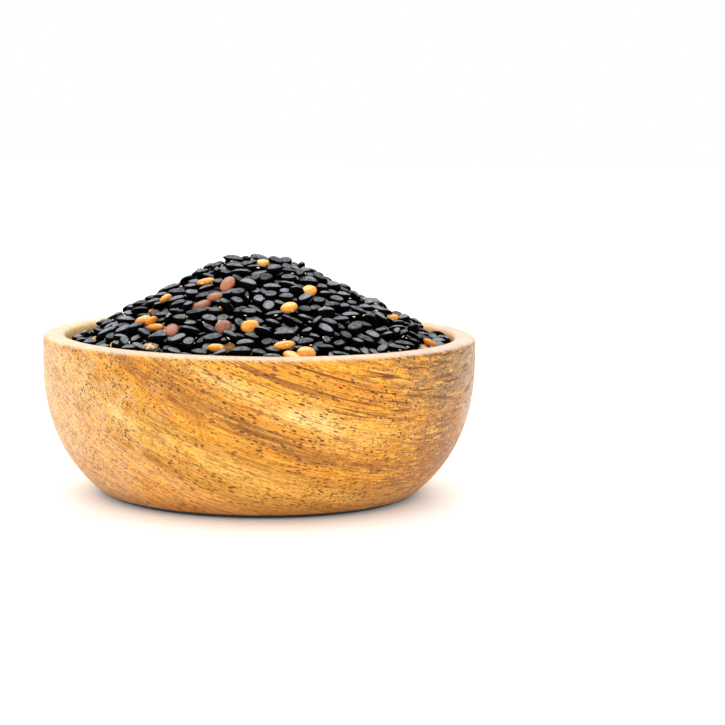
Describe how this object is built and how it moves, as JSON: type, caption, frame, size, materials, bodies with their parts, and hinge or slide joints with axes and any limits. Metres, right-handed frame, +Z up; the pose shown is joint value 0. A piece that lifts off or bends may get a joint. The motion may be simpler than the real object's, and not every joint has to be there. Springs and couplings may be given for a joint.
{
  "type": "bowl of dried beans",
  "caption": "Small round turned wooden bowl with a thick rounded rim, filled and heaped with small black dried beans.",
  "frame": {"origin": "middle of the bowl's flat foot, on the surface it stands on", "axes": "+Z up through the middle of the bowl; -Y is the front, as it is mostly seen"},
  "size_m": [0.13, 0.13, 0.0717],
  "materials": {
    "wood": "satin, streaked honey-brown hardwood with dark pores",
    "black_bean": "dry seed skins, black with a soft grey sheen, a few tan and brown"
  },
  "bodies": {
    "root": {"bowl": "wood", "bean_heap": "black_bean"}
  },
  "joints": []
}
